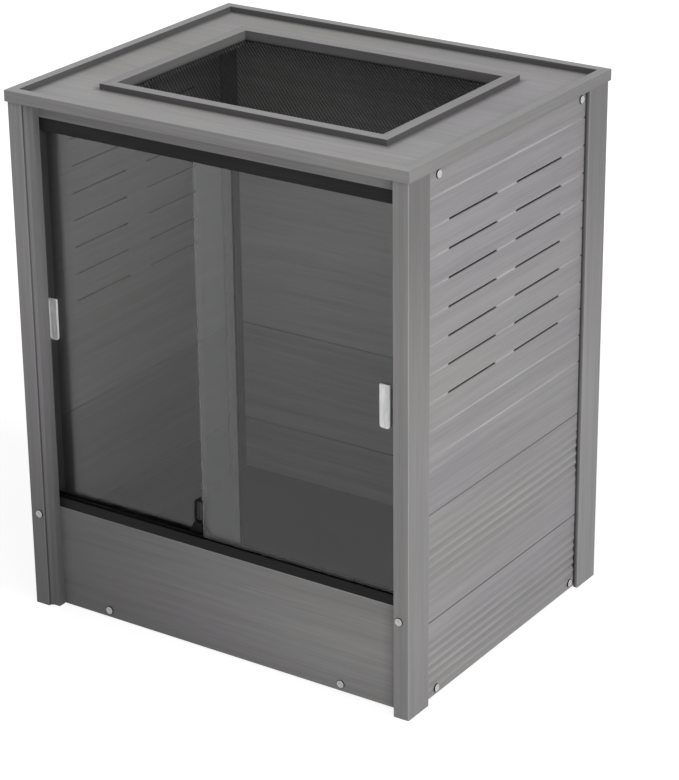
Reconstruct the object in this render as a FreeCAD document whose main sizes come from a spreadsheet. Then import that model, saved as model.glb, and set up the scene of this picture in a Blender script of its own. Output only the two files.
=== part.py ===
import FreeCAD, Part
import math
import os

import Sketcher
from FreeCAD import Placement, Rotation, Vector

# A chameleon cage: a tall cabinet of grey boards between four corner posts, with a
# raised-rim top that carries a mesh frame, and two glass panes that slide in double tracks.
# Millimetres. +X is to the cage's right seen from the front, +Y to the back, +Z up.
# The origin is on the floor, under the middle of the cage.

SIZES = {
    # Whole cage
    "cage_width": 762.0,
    "cage_depth": 609.6,
    "cage_height": 914.4,
    # Cap on top of the posts: a raised rim round a thin panel
    "cap_height": 19.0,
    "cap_overhang": 3.0,
    "rim_width": 17.0,
    "rim_rise": 10.0,
    "rim_edge_radius": 1.0,
    # Corner posts
    "post_face": 28.5,
    "post_depth": 60.0,
    "post_edge_radius": 1.5,
    # Wall boards and the places where they sit
    "board_thickness": 14.0,
    "wall_recess": 8.0,
    "front_recess": 22.0,
    "foot_clearance": 1.5,
    "tongue_length": 7.0,
    "tongue_end_gap": 1.0,
    "tongue_side_gap": 0.2,
    "groove_pitch": 47.3,
    "groove_width": 3.0,
    "groove_depth": 1.3,
    "seam_gap": 0.8,
    # Air slots in the upper side boards
    "slot_width": 4.0,
    "slot_front_margin": 67.0,
    "slot_rear_margin": 73.6,
    "slot_bridge": 57.0,
    # Front boards
    "kick_top": 184.0,
    "top_rail_height": 24.4,
    # Stop strip beside the left front post
    "strip_width": 16.5,
    "strip_setback": 7.2,
    "strip_bevel_width": 5.4,
    "strip_bevel_depth": 2.8,
    # Battens and bearers that the bolts bite into
    "batten_width": 20.0,
    "batten_height": 27.0,
    "sill_batten_height": 20.0,
    # Floor
    "floor_top": 40.0,
    "floor_thickness": 9.0,
    # Double tracks for the panes
    "track_wall": 2.0,
    "track_channel": 8.0,
    "lower_track_height": 17.5,
    "lower_track_base": 6.0,
    "upper_track_height": 22.0,
    "upper_track_roof": 3.0,
    # Glass panes
    "pane_thickness": 5.0,
    "pane_overlap": 68.0,
    "pane_end_gap": 1.5,
    "pane_foot_gap": 0.3,
    "pane_grip": 6.0,
    # Finger pulls on the panes
    "pull_width": 19.0,
    "pull_length": 72.0,
    "pull_thickness": 3.5,
    "pull_wall": 2.6,
    "pull_floor": 1.2,
    "pull_corner_radius": 5.0,
    "pull_foot": 484.0,
    "left_pull_inset": 3.5,
    "right_pull_inset": 18.0,
    # Latch at the foot of the rear pane
    "latch_plate_foot_width": 46.0,
    "latch_plate_head_width": 20.0,
    "latch_plate_height": 24.0,
    "latch_plate_thickness": 1.5,
    "latch_plate_clearance": 1.5,
    "latch_offset": 12.0,
    "latch_pivot_rise": 12.0,
    "latch_pin_radius": 2.5,
    "latch_pin_gap": 0.2,
    "latch_side_gap": 0.3,
    "latch_arm_thickness": 2.0,
    "latch_hub_radius": 7.0,
    "latch_loop_width": 20.0,
    "latch_loop_rise": 4.0,
    "latch_loop_length": 48.0,
    "latch_loop_bar": 4.0,
    # Mesh frame in the cap
    "frame_side_margin": 108.0,
    "frame_end_margin": 107.8,
    "frame_flange": 20.0,
    "frame_rise": 10.0,
    "frame_lip": 8.0,
    "frame_play": 0.5,
    "frame_edge_radius": 0.8,
    "mesh_thickness": 1.2,
    "mesh_bar": 5.0,
    "retainer_width": 24.0,
    "retainer_thickness": 6.0,
    # Bolts
    "bolt_head_radius": 7.0,
    "bolt_head_height": 2.6,
    "bolt_head_round": 1.6,
    "bolt_shank_radius": 2.5,
    "bolt_shank_length": 28.0,
    "bolt_hole_gap": 0.2,
    "bolt_edge_distance": 14.0,
    "side_bolt_front_inset": 35.0,
    "side_bolt_rear_inset": 15.0,
    "wide_bolt_inset": 114.5,
    "post_bolt_inset": 18.0,
    "post_bolt_rise": 172.0,
    # How far a cut runs past the piece that it opens
    "cut_overrun": 5.0,
}

# Numbers of grooves, slots and mesh gaps
COUNTS = {
    "middle_board_steps": 4,
    "lower_board_steps": 2,
    "plain_steps": 2,
    "slot_rows": 7,
    "slot_first_step": 2,
    "mesh_columns": 20,
    "mesh_rows": 14,
}


class Size:
    """A length or a count, held as a number and as a formula in the size sheet."""

    def __init__(self, number, text):
        self.number = number
        self.text = text

    def __add__(self, other):
        return Size(self.number + other.number, f"({self.text} + {other.text})")

    def __sub__(self, other):
        return Size(self.number - other.number, f"({self.text} - {other.text})")

    def __neg__(self):
        return Size(-self.number, f"(-{self.text})")

    def __mul__(self, other):
        if isinstance(other, Size):
            return Size(self.number * other.number, f"({self.text} * {other.text})")
        return Size(self.number * other, f"({self.text} * {other})")

    def __truediv__(self, other):
        if isinstance(other, Size):
            return Size(self.number / other.number, f"({self.text} / {other.text})")
        return Size(self.number / other, f"({self.text} / {other})")

    def whole(self):
        """The same value rounded down to a whole number."""
        return Size(math.floor(self.number), f"floor({self.text})")


# Document and size sheet

doc = FreeCAD.newDocument("ChameleonCage")
sheet = doc.addObject("Spreadsheet::Sheet", "Sizes")


def write_sheet():
    """Write each driving size to the sheet and return them by name."""
    named = {}
    for row, (name, number) in enumerate({**SIZES, **COUNTS}.items(), start=1):
        sheet.set(f"A{row}", name)
        sheet.set(f"B{row}", str(number))
        sheet.setAlias(f"B{row}", name)
        named[name] = Size(number, f"Sizes.{name}")
    doc.recompute()
    return named


S = write_sheet()
ZERO = Size(0, "0")
ONE = Size(1, "1")

# Planes that several pieces share

post_out_x = S["cage_width"] / 2 - S["cap_overhang"]
post_out_y = S["cage_depth"] / 2 - S["cap_overhang"]
post_in_x = post_out_x - S["post_face"]
post_in_y = post_out_y - S["post_depth"]
post_top = S["cage_height"] - S["cap_height"]
wall_out_x = post_out_x - S["wall_recess"]
wall_in_x = wall_out_x - S["board_thickness"]
rear_out_y = post_out_y - S["wall_recess"]
rear_in_y = rear_out_y - S["board_thickness"]
front_y = S["front_recess"] - post_out_y
front_in_y = front_y + S["board_thickness"]
front_batten_y = front_in_y + S["batten_width"]
rail_foot = post_top - S["top_rail_height"]
track_head = rail_foot - S["upper_track_height"]
track_foot_top = S["kick_top"] + S["lower_track_height"]
floor_foot = S["floor_top"] - S["floor_thickness"]
panel_top = S["cage_height"] - S["rim_rise"]
mesh_top = post_top + S["mesh_thickness"]

NODES = []


# Building blocks

def keep(piece, label):
    """Name a finished piece and list it for export."""
    piece.Label = label
    NODES.append(piece)
    return piece


def place(piece, x, y, z, turn=0):
    """Put a piece at a point, turned about the vertical."""
    piece.Placement = Placement(Vector(0, 0, 0), Rotation(Vector(0, 0, 1), turn))
    piece.setExpression("Placement.Base.x", x.text)
    piece.setExpression("Placement.Base.y", y.text)
    piece.setExpression("Placement.Base.z", z.text)


def box(name, xs, ys, zs):
    """A box between two planes on each axis."""
    piece = doc.addObject("Part::Box", name)
    piece.setExpression("Length", (xs[1] - xs[0]).text)
    piece.setExpression("Width", (ys[1] - ys[0]).text)
    piece.setExpression("Height", (zs[1] - zs[0]).text)
    place(piece, xs[0], ys[0], zs[0])
    return piece


def cylinder(name, radius, length, start, direction):
    """A round bar from a point along a direction."""
    piece = doc.addObject("Part::Cylinder", name)
    piece.setExpression("Radius", radius.text)
    piece.setExpression("Height", length.text)
    place(piece, *start)
    piece.Placement.Rotation = Rotation(Vector(0, 0, 1), direction)
    return piece


def cut(name, base, tools):
    """One piece less others."""
    tool = tools[0]
    if len(tools) > 1:
        tool = doc.addObject("Part::Compound", f"{name}_tools")
        tool.Links = tools
    piece = doc.addObject("Part::Cut", name)
    piece.Base = base
    piece.Tool = tool
    return piece


def origin_item(body, role):
    """A body's own origin plane or axis."""
    for item in body.Origin.OriginFeatures:
        if item.Role == role:
            return item
    raise LookupError(role)


def sketch_on(body, role, name):
    """An empty sketch on one of a body's origin planes."""
    sketch = body.newObject("Sketcher::SketchObject", name)
    sketch.AttachmentSupport = [(origin_item(body, role), "")]
    sketch.MapMode = "FlatFace"
    return sketch


def add_outline(sketch, points):
    """A closed outline of straight lines whose corners follow the sheet."""
    first = sketch.GeometryCount
    count = len(points)
    corners = [Vector(x.number, y.number, 0) for x, y in points]
    for index in range(count):
        following = corners[(index + 1) % count]
        sketch.addGeometry(Part.LineSegment(corners[index], following), False)
    for index in range(count):
        following = first + (index + 1) % count
        sketch.addConstraint(Sketcher.Constraint("Coincident", first + index, 2, following, 1))
    for index, point in enumerate(points):
        for kind, value in zip(("DistanceX", "DistanceY"), point):
            rule = Sketcher.Constraint(kind, -1, 1, first + index, 1, value.number)
            number = sketch.addConstraint(rule)
            sketch.setExpression(f"Constraints[{number}]", value.text)


def add_rectangle(sketch, xs, ys):
    """A rectangle between two lines on each sketch axis."""
    add_outline(sketch, [(xs[0], ys[0]), (xs[1], ys[0]), (xs[1], ys[1]), (xs[0], ys[1])])


def add_circle(sketch, x, y, radius):
    """A circle whose centre and radius follow the sheet."""
    circle = Part.Circle(Vector(x.number, y.number, 0), Vector(0, 0, 1), radius.number)
    index = sketch.addGeometry(circle, False)
    for kind, value in zip(("DistanceX", "DistanceY"), (x, y)):
        number = sketch.addConstraint(Sketcher.Constraint(kind, -1, 1, index, 3, value.number))
        sketch.setExpression(f"Constraints[{number}]", value.text)
    number = sketch.addConstraint(Sketcher.Constraint("Radius", index, radius.number))
    sketch.setExpression(f"Constraints[{number}]", radius.text)


def pad(body, sketch, length, downwards=False):
    """Raise a sketch into a solid."""
    feature = body.newObject("PartDesign::Pad", "Pad")
    feature.Profile = sketch
    feature.setExpression("Length", length.text)
    feature.Reversed = downwards
    doc.recompute()
    return feature


def volume_must_drop(feature, before):
    """Stop when a cut has missed the solid."""
    doc.recompute()
    if feature.Shape.Volume >= before:
        raise RuntimeError(f"{feature.Label} cut nothing")


def pocket_through(body, sketch, flipped=False):
    """Cut a sketch right through the solid."""
    before = body.Shape.Volume
    feature = body.newObject("PartDesign::Pocket", "Pocket")
    feature.Profile = sketch
    feature.Type = 1
    feature.Reversed = flipped
    volume_must_drop(feature, before)
    return feature


def pocket_to(body, sketch, depth):
    """Cut a sketch to a depth."""
    before = body.Shape.Volume
    feature = body.newObject("PartDesign::Pocket", "Pocket")
    feature.Profile = sketch
    feature.setExpression("Length", depth.text)
    volume_must_drop(feature, before)


def repeat_upwards(body, feature, spacing, count):
    """Repeat a cut up the height of a board."""
    if count.number < 2:
        return
    before = body.Shape.Volume
    pattern = body.newObject("PartDesign::LinearPattern", "Rows")
    pattern.Originals = [feature]
    pattern.Direction = (origin_item(body, "Z_Axis"), [""])
    pattern.setExpression("Length", (spacing * (count - ONE)).text)
    pattern.setExpression("Occurrences", count.text)
    body.Tip = pattern
    volume_must_drop(pattern, before)


def edges_of(feature, wanted):
    """Names of the straight edges whose two ends pass a test."""
    names = []
    for number, edge in enumerate(feature.Shape.Edges, start=1):
        ends = [vertex.Point for vertex in edge.Vertexes]
        if len(ends) == 2 and wanted(*ends):
            names.append(f"Edge{number}")
    return names


def same(first, second):
    """Whether two coordinates are one."""
    return round(first - second, 4) == 0


def fillet(body, feature, names, radius):
    """Round the named edges of a feature."""
    rounding = body.newObject("PartDesign::Fillet", "Rounding")
    rounding.Base = (feature, names)
    rounding.setExpression("Radius", radius.text)
    doc.recompute()


# Bolts: where each head sits, and the way it faces

side_bolt_front_y = S["side_bolt_front_inset"] - post_in_y
side_bolt_rear_y = post_in_y - S["side_bolt_rear_inset"]
bolt_foot = S["bolt_edge_distance"]
bolt_head = post_top - S["bolt_edge_distance"]
wide_bolt_x = post_in_x - S["wide_bolt_inset"]
post_bolt_x = post_out_x - S["post_bolt_inset"]
bolt_hole_radius = S["bolt_shank_radius"] + S["bolt_hole_gap"]


def side_bolts(heights):
    """Places of the bolts through the two side walls."""
    places = []
    for y in (side_bolt_front_y, side_bolt_rear_y):
        for z in heights:
            places.append(((wall_out_x, y, z), Vector(1, 0, 0)))
            places.append(((-wall_out_x, y, z), Vector(-1, 0, 0)))
    return places


def cross_bolts(y, z, x, direction):
    """A pair of bolts set evenly about the middle."""
    return [((side, y, z), direction) for side in (-x, x)]


BOLTS = (
    side_bolts((bolt_foot, bolt_head))
    + cross_bolts(rear_out_y, bolt_foot, wide_bolt_x, Vector(0, 1, 0))
    + cross_bolts(rear_out_y, bolt_head, wide_bolt_x, Vector(0, 1, 0))
    + cross_bolts(front_y, bolt_foot, wide_bolt_x, Vector(0, -1, 0))
    + cross_bolts(-post_out_y, S["post_bolt_rise"], post_bolt_x, Vector(0, -1, 0))
)


def numbers(point):
    """A point's coordinates as a vector."""
    return Vector(*[value.number for value in point])


def drill(name, base):
    """Cut a hole for the shank of every bolt that reaches this piece."""
    doc.recompute()
    tools = []
    for head, outward in BOLTS:
        end = numbers(head) - outward * S["bolt_shank_length"].number
        shank = Part.LineSegment(numbers(head), end).toShape()
        if base.Shape.common(shank).Length == 0:
            continue
        hole = cylinder(f"{name}_hole", bolt_hole_radius, S["bolt_shank_length"], head, -outward)
        tools.append(hole)
    if not tools:
        return base
    return cut(name, base, tools)


def bolt_shape():
    """One dome-headed bolt: its seat at the origin, its head up."""
    head = Part.makeCylinder(S["bolt_head_radius"].number, S["bolt_head_height"].number)
    top = [edge for edge in head.Edges if same(edge.CenterOfMass.z, S["bolt_head_height"].number)]
    head = head.makeFillet(S["bolt_head_round"].number, top)
    length = S["bolt_shank_length"].number
    shank = Part.makeCylinder(S["bolt_shank_radius"].number, length, Vector(0, 0, -length))
    return head.fuse(shank).removeSplitter()


def bolts():
    """All the bolts, alike, as separate solids."""
    solids = []
    for head, outward in BOLTS:
        solid = bolt_shape()
        solid.Placement = Placement(numbers(head), Rotation(Vector(0, 0, 1), outward))
        solids.append(solid)
    piece = doc.addObject("Part::Feature", "bolt_set")
    piece.Shape = Part.makeCompound(solids)
    keep(piece, "bolts")


# Corner posts

def post(name, side, end):
    """A post, rounded on its four long edges, with slots that hold the wall boards."""
    body = doc.addObject("PartDesign::Body", f"{name}_body")
    outline = sketch_on(body, "XY_Plane", "Section")
    add_rectangle(outline, (ZERO, S["post_face"]), (ZERO, S["post_depth"]))
    block = pad(body, outline, post_top)
    long_edges = edges_of(block, lambda a, b: same(a.x, b.x) and same(a.y, b.y))
    fillet(body, block, long_edges, S["post_edge_radius"])
    slot_depth = S["tongue_length"] + S["tongue_end_gap"]
    near = S["wall_recess"] - S["tongue_side_gap"]
    far = S["wall_recess"] + S["board_thickness"] + S["tongue_side_gap"]
    across = (near, far) if side < 0 else (S["post_face"] - far, S["post_face"] - near)
    along = (ZERO, slot_depth) if end > 0 else (S["post_depth"] - slot_depth, S["post_depth"])
    side_slot = sketch_on(body, "XY_Plane", "SideSlot")
    add_rectangle(side_slot, across, along)
    pocket_through(body, side_slot, flipped=True)
    if end > 0:
        inner = (S["post_face"] - slot_depth, S["post_face"]) if side < 0 else (ZERO, slot_depth)
        rear_slot = sketch_on(body, "XY_Plane", "RearSlot")
        add_rectangle(rear_slot, inner, (S["post_depth"] - far, S["post_depth"] - near))
        pocket_through(body, rear_slot, flipped=True)
    x = -post_out_x if side < 0 else post_in_x
    y = -post_out_y if end < 0 else post_in_y
    place(body, x, y, ZERO)
    keep(drill(f"{name}_drilled", body), name)


def posts():
    """The four posts."""
    post("front_left_post", side=-1, end=-1)
    post("front_right_post", side=1, end=-1)
    post("rear_left_post", side=-1, end=1)
    post("rear_right_post", side=1, end=1)


def stop_strip():
    """The stepped strip that closes the front channel beside the left front post."""
    body = doc.addObject("PartDesign::Body", "left_stop_strip_body")
    outline = sketch_on(body, "XY_Plane", "Section")
    depth = S["front_recess"] - S["strip_setback"]
    points = [
        (ZERO, -S["strip_bevel_depth"]),
        (S["strip_bevel_width"], ZERO),
        (S["strip_width"], ZERO),
        (S["strip_width"], depth),
        (ZERO, depth),
    ]
    add_outline(outline, points)
    pad(body, outline, post_top)
    place(body, -post_in_x, S["strip_setback"] - post_out_y, ZERO)
    keep(body, "left_stop_strip")


# Wall boards

def wall_board(name, width, foot, head, grooves=None, slots=None):
    """A board standing on edge, its outer face on local +X and its width along local Y."""
    body = doc.addObject("PartDesign::Body", f"{name}_body")
    height = head - foot
    outline = sketch_on(body, "YZ_Plane", "Face")
    add_rectangle(outline, (ZERO, width), (ZERO, height))
    pad(body, outline, S["board_thickness"])
    if grooves is not None:
        first, count = grooves
        notch = sketch_on(body, "XZ_Plane", "Groove")
        surface = S["board_thickness"]
        points = [
            (surface, first - foot - S["groove_width"] / 2),
            (surface, first - foot + S["groove_width"] / 2),
            (surface - S["groove_depth"], first - foot),
        ]
        add_outline(notch, points)
        groove = pocket_through(body, notch)
        repeat_upwards(body, groove, S["groove_pitch"], count)
    if slots is not None:
        starts, first, count = slots
        openings = sketch_on(body, "YZ_Plane", "Slots")
        level = first - foot
        for start in starts:
            across = (start, start + slot_length)
            add_rectangle(openings, across, (level - S["slot_width"] / 2, level + S["slot_width"] / 2))
        slot = pocket_through(body, openings, flipped=True)
        repeat_upwards(body, slot, S["groove_pitch"], count)
    return body


wall_steps = (post_top / S["groove_pitch"]).whole()
upper_steps = wall_steps - S["middle_board_steps"] - S["lower_board_steps"]
upper_foot = post_top - S["groove_pitch"] * upper_steps
middle_foot = upper_foot - S["groove_pitch"] * S["middle_board_steps"]
board_end_y = post_in_y + S["tongue_length"]
board_end_x = post_in_x + S["tongue_length"]
slot_margins = S["slot_front_margin"] + S["slot_rear_margin"]
slot_length = (post_in_y * 2 - slot_margins - S["slot_bridge"]) / 2

# Each row of wall boards: its name, foot and head
LEVELS = (
    ("upper", upper_foot + S["seam_gap"], post_top),
    ("middle", middle_foot + S["seam_gap"], upper_foot),
    ("lower", S["foot_clearance"], middle_foot),
)

# The upper boards' grooves: the height of the lowest one and how many there are
UPPER_GROOVES = (upper_foot + S["groove_pitch"] * S["plain_steps"], upper_steps - S["plain_steps"])


def slot_starts(side, width):
    """Where the two columns of slots start along a side board's own width."""
    front = S["tongue_length"] + S["slot_front_margin"]
    rear = front + slot_length + S["slot_bridge"]
    if side > 0:
        return (front, rear)
    return (width - front - slot_length, width - rear - slot_length)


def walls():
    """Three boards in each side wall and in the rear wall."""
    side_width = board_end_y * 2
    rear_width = board_end_x * 2
    top_slot = post_top - S["groove_pitch"] * S["slot_first_step"]
    lowest_slot = top_slot - S["groove_pitch"] * (S["slot_rows"] - ONE)
    for level, foot, head in LEVELS:
        grooves = UPPER_GROOVES if level == "upper" else None
        for side, word in ((-1, "left"), (1, "right")):
            slots = None
            if level == "upper":
                slots = (slot_starts(side, side_width), lowest_slot, S["slot_rows"])
            name = f"{word}_{level}_board"
            board = wall_board(name, side_width, foot, head, grooves, slots)
            if side > 0:
                place(board, wall_in_x, -board_end_y, foot)
            else:
                place(board, -wall_in_x, board_end_y, foot, turn=180)
            keep(drill(name, board), name)
        name = f"rear_{level}_board"
        board = wall_board(name, rear_width, foot, head, grooves)
        place(board, board_end_x, rear_in_y, foot, turn=90)
        keep(drill(name, board), name)


# Front boards, battens and floor

def timber(name, xs, ys, zs):
    """A plain squared piece, drilled where bolts enter it."""
    keep(drill(name, box(f"{name}_blank", xs, ys, zs)), name)


def front_boards():
    """The kick board under the doors and the rail over them."""
    across = (-post_in_x, post_in_x)
    timber("kick_board", across, (front_y, front_in_y), (S["foot_clearance"], S["kick_top"]))
    timber("top_rail", across, (front_y, front_in_y), (rail_foot, post_top))
    sill_foot = S["kick_top"] - S["sill_batten_height"]
    timber("sill_batten", across, (front_in_y, front_batten_y), (sill_foot, S["kick_top"]))
    timber("head_batten", across, (front_in_y, front_batten_y), (rail_foot, post_top))


def battens():
    """Bearers under the floor and battens under the cap, inside the walls."""
    rear = (rear_in_y - S["batten_width"], rear_in_y)
    across = (-post_in_x, post_in_x)
    along = (-post_in_y, post_in_y)
    foot = (S["foot_clearance"], floor_foot)
    head = (post_top - S["batten_height"], post_top)
    left = (-wall_in_x, S["batten_width"] - wall_in_x)
    right = (wall_in_x - S["batten_width"], wall_in_x)
    timber("front_floor_bearer", across, (front_in_y, front_batten_y), foot)
    timber("rear_floor_bearer", across, rear, foot)
    timber("left_floor_bearer", left, along, foot)
    timber("right_floor_bearer", right, along, foot)
    timber("rear_top_batten", across, rear, head)
    timber("left_top_batten", left, along, head)
    timber("right_top_batten", right, along, head)


def floor():
    """The floor panel, notched round the four posts."""
    body = doc.addObject("PartDesign::Body", "floor_panel_body")
    outline = sketch_on(body, "XY_Plane", "Outline")
    width = wall_in_x * 2
    depth = rear_in_y - front_in_y
    notch = wall_in_x - post_in_x
    front = -post_in_y - front_in_y
    rear = post_in_y - front_in_y
    points = [
        (notch, ZERO),
        (width - notch, ZERO),
        (width - notch, front),
        (width, front),
        (width, rear),
        (width - notch, rear),
        (width - notch, depth),
        (notch, depth),
        (notch, rear),
        (ZERO, rear),
        (ZERO, front),
        (notch, front),
    ]
    add_outline(outline, points)
    pad(body, outline, S["floor_thickness"])
    place(body, -wall_in_x, front_in_y, floor_foot)
    keep(body, "floor_panel")


# Double tracks for the glass

def track(name, foot, height, web, upright):
    """A track with two channels between three walls, joined by a web."""
    body = doc.addObject("PartDesign::Body", f"{name}_body")
    profile = sketch_on(body, "YZ_Plane", "Profile")
    tip = height if upright else ZERO
    root = web if upright else height - web
    back = ZERO if upright else height
    wall = S["track_wall"]
    step = S["track_wall"] + S["track_channel"]
    points = [(ZERO, back), (ZERO, tip), (wall, tip), (wall, root)]
    points += [(step, root), (step, tip), (step + wall, tip), (step + wall, root)]
    points += [(step * 2, root), (step * 2, tip), (step * 2 + wall, tip), (step * 2 + wall, back)]
    add_outline(profile, points)
    pad(body, profile, post_in_x * 2)
    place(body, -post_in_x, front_y, foot)
    keep(body, name)


def tracks():
    """The lower track on the kick board and the upper one under the rail."""
    lower_web = S["lower_track_base"]
    upper_web = S["upper_track_roof"]
    track("lower_track", S["kick_top"], S["lower_track_height"], lower_web, upright=True)
    track("upper_track", track_head, S["upper_track_height"], upper_web, upright=False)


# Glass doors

pane_span = (post_in_x - S["pane_end_gap"]) * 2
pane_width = (pane_span + S["pane_overlap"]) / 2
pane_edge = post_in_x - S["pane_end_gap"]
pane_foot = S["kick_top"] + S["lower_track_base"] + S["pane_foot_gap"]
pane_head = track_head + S["pane_grip"]
pane_setback = S["track_wall"] + (S["track_channel"] - S["pane_thickness"]) / 2
front_pane_y = front_y + pane_setback
rear_pane_y = front_pane_y + S["track_wall"] + S["track_channel"]


def pane(name, x, y):
    """One sliding sheet of glass."""
    xs = (x, x + pane_width)
    keep(box(f"{name}_sheet", xs, (y, y + S["pane_thickness"]), (pane_foot, pane_head)), name)


def pull(name, x, face_y):
    """A finger pull: a shallow dish with round lower corners, stuck on the glass."""
    body = doc.addObject("PartDesign::Body", f"{name}_body")
    outline = sketch_on(body, "XZ_Plane", "Outline")
    add_rectangle(outline, (ZERO, S["pull_width"]), (ZERO, S["pull_length"]))
    block = pad(body, outline, S["pull_thickness"])
    low = edges_of(block, lambda a, b: same(a.z, 0) and same(b.z, 0) and same(a.x, b.x))
    fillet(body, block, low, S["pull_corner_radius"])
    dish = sketch_on(body, "XZ_Plane", "Dish")
    dish.setExpression("AttachmentOffset.Base.z", S["pull_thickness"].text)
    wall = S["pull_wall"]
    add_rectangle(dish, (wall, S["pull_width"] - wall), (wall * 2, S["pull_length"] - wall))
    pocket_to(body, dish, S["pull_thickness"] - S["pull_floor"])
    place(body, x, face_y, S["pull_foot"])
    keep(body, name)


def doors():
    """The rear pane on the left and the front pane on the right, each with its pull."""
    pane("left_pane", -pane_edge, rear_pane_y)
    pane("right_pane", pane_edge - pane_width, front_pane_y)
    pull("left_pull", S["left_pull_inset"] - pane_edge, rear_pane_y)
    right_x = pane_edge - S["right_pull_inset"] - S["pull_width"]
    pull("right_pull", right_x, front_pane_y)


# Latch at the foot of the rear pane

latch_x = pane_edge - pane_width - S["latch_offset"]
latch_plate_foot = track_foot_top + S["latch_plate_clearance"]
latch_pivot_z = latch_plate_foot + S["latch_pivot_rise"]
latch_arm_y = rear_pane_y - S["latch_plate_thickness"] - S["latch_side_gap"]


def latch_plate():
    """The latch's plate, wider at its foot, with the pin that the lever turns on."""
    body = doc.addObject("PartDesign::Body", "latch_plate_body")
    outline = sketch_on(body, "XZ_Plane", "Outline")
    foot = S["latch_plate_foot_width"] / 2
    head = S["latch_plate_head_width"] / 2
    points = [(-foot, ZERO), (foot, ZERO), (head, S["latch_plate_height"])]
    points += [(-head, S["latch_plate_height"])]
    add_outline(outline, points)
    pad(body, outline, S["latch_plate_thickness"])
    pin = sketch_on(body, "XZ_Plane", "Pin")
    add_circle(pin, ZERO, S["latch_pivot_rise"], S["latch_pin_radius"])
    length = S["latch_plate_thickness"] + S["latch_side_gap"] + S["latch_arm_thickness"]
    pad(body, pin, length)
    place(body, latch_x, rear_pane_y, latch_plate_foot)
    keep(body, "latch_plate")


def latch_lever():
    """The latch's lever: a hub on the pin and a long open loop above it."""
    body = doc.addObject("PartDesign::Body", "latch_lever_body")
    thickness = S["latch_arm_thickness"]
    outer = S["latch_loop_width"] / 2
    inner = outer - S["latch_loop_bar"]
    low = S["latch_loop_rise"] + outer
    high = S["latch_loop_rise"] + S["latch_loop_length"] - outer
    middle = sketch_on(body, "XZ_Plane", "LoopSides")
    add_rectangle(middle, (-outer, outer), (low, high))
    pad(body, middle, thickness)
    for name, z, radius in (("LoopFoot", low, outer), ("LoopHead", high, outer)):
        disc = sketch_on(body, "XZ_Plane", name)
        add_circle(disc, ZERO, z, radius)
        pad(body, disc, thickness)
    hub = sketch_on(body, "XZ_Plane", "Hub")
    add_circle(hub, ZERO, ZERO, S["latch_hub_radius"])
    pad(body, hub, thickness)
    window = sketch_on(body, "XZ_Plane", "Window")
    add_rectangle(window, (-inner, inner), (low, high))
    pocket_through(body, window, flipped=True)
    bore = S["latch_pin_radius"] + S["latch_pin_gap"]
    for name, z, radius in (("WindowFoot", low, inner), ("WindowHead", high, inner), ("Bore", ZERO, bore)):
        hole = sketch_on(body, "XZ_Plane", name)
        add_circle(hole, ZERO, z, radius)
        pocket_through(body, hole, flipped=True)
    place(body, latch_x, latch_arm_y, latch_pivot_z)
    keep(body, "latch_lever")


# Cap: mitred rim, thin panel and mesh frame

def mitred_outline(sketch, length, near, far):
    """A bar seen from above, cut at 45 degrees at both ends."""
    points = [(near, near), (length - near, near), (length - far, far), (far, far)]
    add_outline(sketch, points)


def four_sides(length, depth):
    """Where the bars of a rectangular frame start, and how they are turned."""
    return (
        ("front", length, (-length / 2, -depth / 2), 0),
        ("right", depth, (length / 2, -depth / 2), 90),
        ("rear", length, (length / 2, depth / 2), 180),
        ("left", depth, (-length / 2, depth / 2), 270),
    )


def rim():
    """Four mitred bars that stand on the posts and rise above the panel."""
    for word, length, (x, y), turn in four_sides(S["cage_width"], S["cage_depth"]):
        body = doc.addObject("PartDesign::Body", f"cap_rim_{word}_body")
        outline = sketch_on(body, "XY_Plane", "Outline")
        mitred_outline(outline, length, ZERO, S["rim_width"])
        block = pad(body, outline, S["cap_height"])
        top = S["cap_height"].number
        high = edges_of(block, lambda a, b: same(a.z, top) and same(b.z, top) and same(a.y, b.y))
        fillet(body, block, high, S["rim_edge_radius"])
        place(body, x, y, post_top, turn)
        keep(body, f"cap_rim_{word}")


frame_length = S["cage_width"] - S["frame_side_margin"] * 2
frame_depth = S["cage_depth"] - S["frame_end_margin"] * 2
mesh_window_x = frame_length / 2 - S["frame_flange"]
mesh_window_y = frame_depth / 2 - S["frame_flange"]
opening_x = mesh_window_x + S["frame_lip"] + S["frame_play"]
opening_y = mesh_window_y + S["frame_lip"] + S["frame_play"]


def top_panel():
    """The thin panel inside the rim, with the opening that the mesh frame drops into."""
    half_x = S["cage_width"] / 2 - S["rim_width"]
    half_y = S["cage_depth"] / 2 - S["rim_width"]
    sheet_box = box("top_panel_blank", (-half_x, half_x), (-half_y, half_y), (post_top, panel_top))
    opening = box(
        "top_panel_opening",
        (-opening_x, opening_x),
        (-opening_y, opening_y),
        (post_top - S["cut_overrun"], panel_top + S["cut_overrun"]),
    )
    keep(cut("top_panel_cut", sheet_box, [opening]), "top_panel")


def mesh_frame():
    """Four mitred rails: a flange on the panel and a lip down inside its opening."""
    for word, length, (x, y), turn in four_sides(frame_length, frame_depth):
        body = doc.addObject("PartDesign::Body", f"mesh_frame_{word}_body")
        flange = sketch_on(body, "XY_Plane", "Flange")
        mitred_outline(flange, length, ZERO, S["frame_flange"])
        block = pad(body, flange, S["frame_rise"])
        top = S["frame_rise"].number
        high = edges_of(block, lambda a, b: same(a.z, top) and same(b.z, top) and same(a.y, b.y))
        fillet(body, block, high, S["frame_edge_radius"])
        lip = sketch_on(body, "XY_Plane", "Lip")
        mitred_outline(lip, length, S["frame_flange"] - S["frame_lip"], S["frame_flange"])
        pad(body, lip, panel_top - mesh_top, downwards=True)
        place(body, x, y, panel_top, turn)
        keep(body, f"mesh_frame_{word}")


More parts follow.
